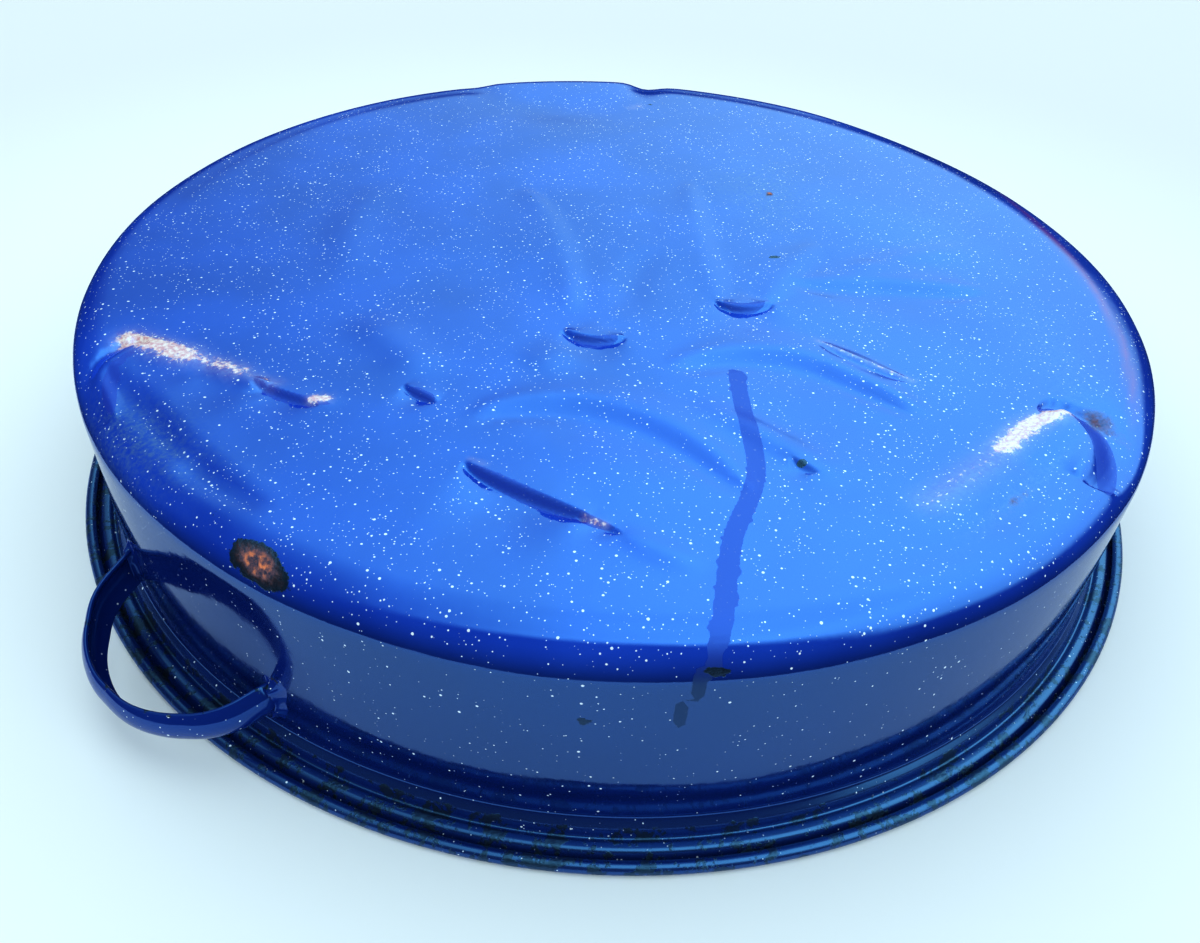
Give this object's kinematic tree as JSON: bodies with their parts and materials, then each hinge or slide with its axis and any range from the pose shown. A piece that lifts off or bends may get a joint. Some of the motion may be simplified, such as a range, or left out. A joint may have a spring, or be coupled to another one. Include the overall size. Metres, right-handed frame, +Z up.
{
  "type": "enamelled developing tray pan",
  "caption": "Round enamelled-steel pan standing upside down on its rolled rim, with a stepped lid seat and a welded loop handle on each side.",
  "frame": {"origin": "on the floor, under the centre of the pan, in the plane of the rolled rim it stands on", "axes": "+Z up, square to the base and out of it; X through the two handles, with the longest side along X; Y across"},
  "size_m": [0.4948, 0.46, 0.088],
  "materials": {
    "blue_enamel": "gloss vitreous enamel, cobalt blue with fine white speckles",
    "handle_enamel": "gloss vitreous enamel, cobalt blue with sparse white speckles",
    "weld_enamel": "enamel over weld filler, dark and partly rusted"
  },
  "bodies": {
    "root": {"pan_shell": "blue_enamel", "left_handle": "handle_enamel", "right_handle": "handle_enamel", "left_handle_welds": "weld_enamel", "right_handle_welds": "weld_enamel"}
  },
  "joints": []
}
